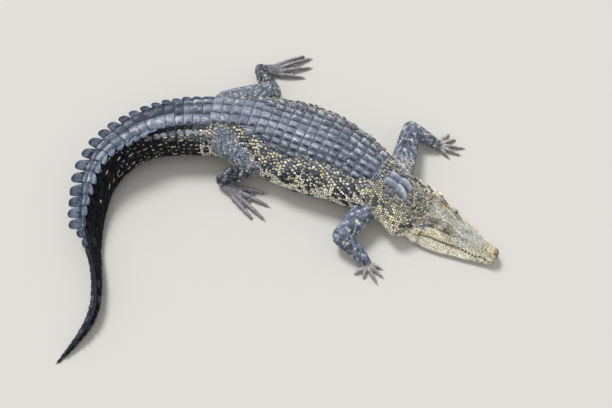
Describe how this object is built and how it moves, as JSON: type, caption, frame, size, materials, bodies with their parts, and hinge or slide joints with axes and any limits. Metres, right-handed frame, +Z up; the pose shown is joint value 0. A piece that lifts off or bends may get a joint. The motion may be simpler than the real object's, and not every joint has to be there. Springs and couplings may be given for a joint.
{
  "type": "estuarine crocodile, life-size still model",
  "caption": "Life-size crocodile lying on its belly, legs splayed, tail swept round in a hook, with a double scute crest, closed jaws and webbed hind feet.",
  "frame": {"origin": "on the floor, under the middle of the animal's outline", "axes": "+X along the longer side of the outline, towards the head's end; +Y to the animal's left; +Z up from the floor"},
  "size_m": [1.4288, 1.1662, 0.1704],
  "materials": {
    "back_skin": "scaly hide, grey-blue keeled plates with worn pale tops over cream and blue-black flanks, half matt",
    "tail_skin": "scaly hide in rings, grey-blue to black with short yellow dashes, half matt",
    "limb_skin": "overlapping blue-grey plates with pale edges and yellow inner sides, half matt",
    "foot_skin": "mauve-grey pebbled skin with narrow cross scales on the toes, half matt",
    "head_skin": "thin bony skin, pale olive-grey with small dark spots, half matt",
    "jaw_skin": "smooth plated skin, cream white with a green tint, half matt",
    "eye": "wet glossy eye, olive-gold iris with a black upright slit",
    "claw": "dark brown horn with a paler tip, satin"
  },
  "bodies": {
    "root": {"head": "head_skin", "lower_jaw": "jaw_skin", "eye_left": "eye", "eye_right": "eye", "neck": "back_skin", "trunk": "back_skin", "tail_1": "tail_skin", "tail_2": "tail_skin", "tail_3": "tail_skin", "tail_4": "tail_skin", "upper_arm_front_right": "limb_skin", "forearm_front_right": "limb_skin", "hand_front_right": "foot_skin", "upper_arm_front_left": "limb_skin", "forearm_front_left": "limb_skin", "hand_front_left": "foot_skin", "thigh_rear_right": "limb_skin", "shank_rear_right": "limb_skin", "foot_rear_right": "foot_skin", "thigh_rear_left": "limb_skin", "shank_rear_left": "limb_skin", "foot_rear_left": "foot_skin", "claw_front_right_1": "claw", "claw_front_right_2": "claw", "claw_front_right_3": "claw", "claw_front_left_1": "claw", "claw_front_left_2": "claw", "claw_front_left_3": "claw", "claw_rear_right_1": "claw", "claw_rear_right_2": "claw", "claw_rear_right_3": "claw", "claw_rear_left_1": "claw", "claw_rear_left_2": "claw", "claw_rear_left_3": "claw"}
  },
  "joints": []
}
